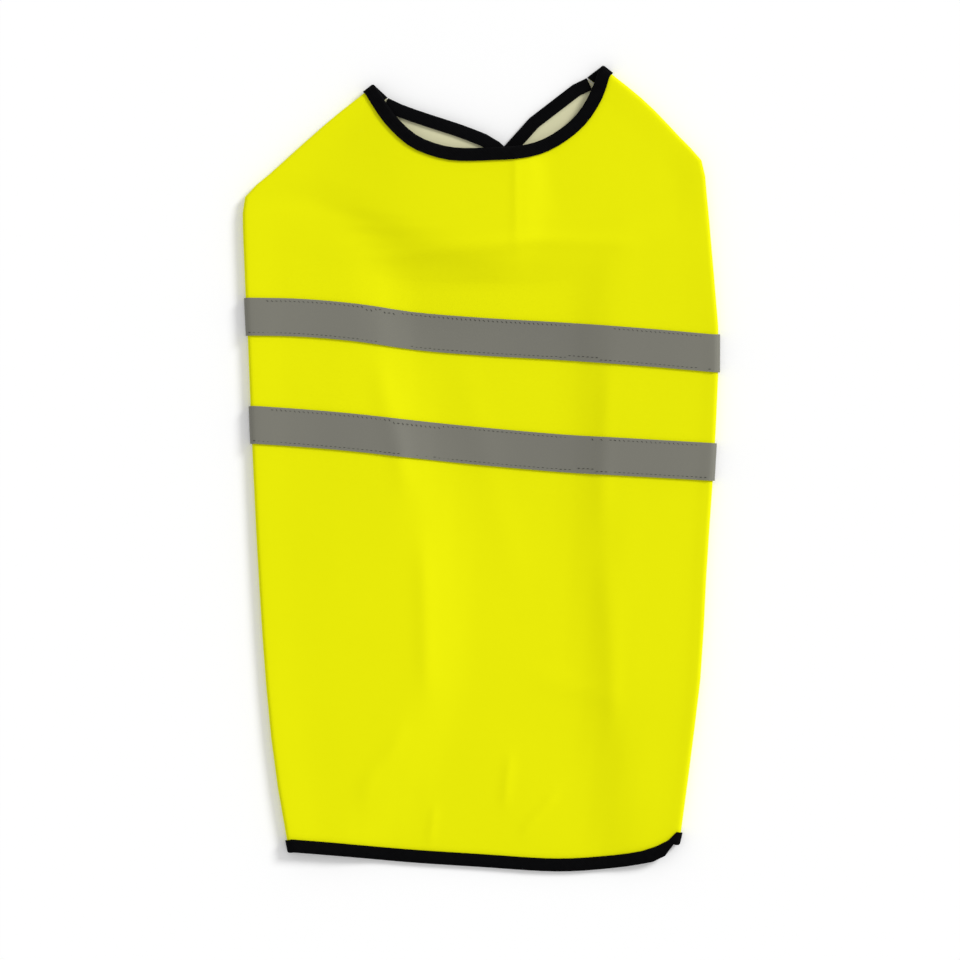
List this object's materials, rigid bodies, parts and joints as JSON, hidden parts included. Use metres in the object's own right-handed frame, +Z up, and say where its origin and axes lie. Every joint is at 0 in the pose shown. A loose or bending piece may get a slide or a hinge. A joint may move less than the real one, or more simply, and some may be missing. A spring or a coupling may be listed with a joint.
{
  "type": "dog high-visibility jacket",
  "caption": "Sleeveless dog jacket in bright cloth with bound edges, reflective tapes, crossed chest straps and folded belly wings, laid flat.",
  "frame": {"origin": "middle of the plan box, on the surface it lies on", "axes": "+Y towards the neck, +Z up from the surface, +X across"},
  "size_m": [0.3179, 0.5366, 0.0116],
  "materials": {
    "hi_vis_fabric": "matt fluorescent woven polyester",
    "reflective_tape": "satin grey retroreflective tape",
    "binding_tape": "matt black woven binding",
    "hook_and_loop": "matt black napped tape"
  },
  "bodies": {
    "root": {"back_panel": "hi_vis_fabric", "left_chest_strap": "hi_vis_fabric", "right_chest_strap": "hi_vis_fabric", "left_belly_wing": "hi_vis_fabric", "right_belly_wing": "hi_vis_fabric", "upper_tape_back": "reflective_tape", "lower_tape_back": "reflective_tape", "upper_tape_left": "reflective_tape", "lower_tape_left": "reflective_tape", "upper_tape_right": "reflective_tape", "lower_tape_right": "reflective_tape", "hem_binding_back": "binding_tape", "neck_binding_back": "binding_tape", "left_wing_binding": "binding_tape", "right_wing_binding": "binding_tape", "left_strap_binding": "binding_tape", "right_strap_binding": "binding_tape", "left_leg_binding": "binding_tape", "right_leg_binding": "binding_tape", "chest_hook_patch": "hook_and_loop", "chest_loop_patch": "hook_and_loop", "belly_hook_patch": "hook_and_loop", "belly_loop_patch": "hook_and_loop"}
  },
  "joints": []
}
